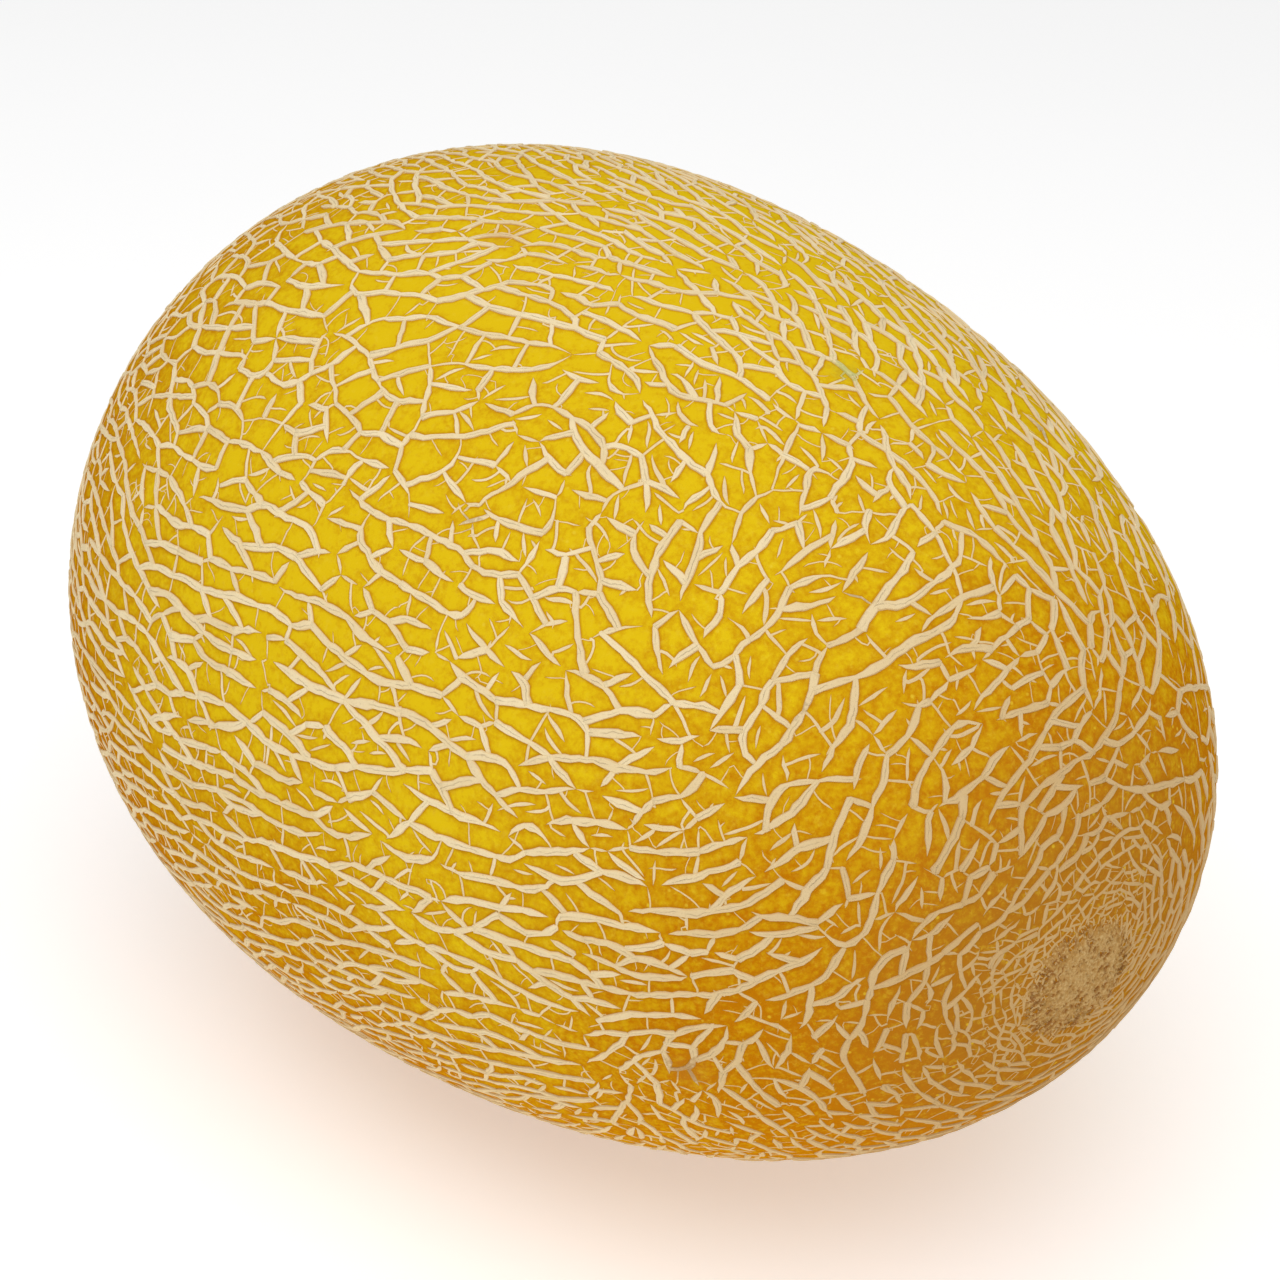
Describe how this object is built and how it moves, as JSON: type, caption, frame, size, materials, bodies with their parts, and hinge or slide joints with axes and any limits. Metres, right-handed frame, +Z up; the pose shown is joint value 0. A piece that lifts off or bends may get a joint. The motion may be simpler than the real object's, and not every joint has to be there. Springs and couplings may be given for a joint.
{
  "type": "hami melon",
  "caption": "Whole netted melon lying on its side: an egg-shaped golden fruit with a raised cream cork net, a corky scar at the blossom end and a short cut stalk.",
  "frame": {"origin": "bottom centre of the fruit's box, level with the flat spot that it rests on", "axes": "+X along the fruit towards the blossom end, -X towards the stalk, +Z up as the fruit lies"},
  "size_m": [0.2186, 0.1566, 0.1529],
  "materials": {
    "rind": "satin",
    "cork": "matte"
  },
  "bodies": {
    "root": {"melon": "rind"}
  },
  "joints": []
}
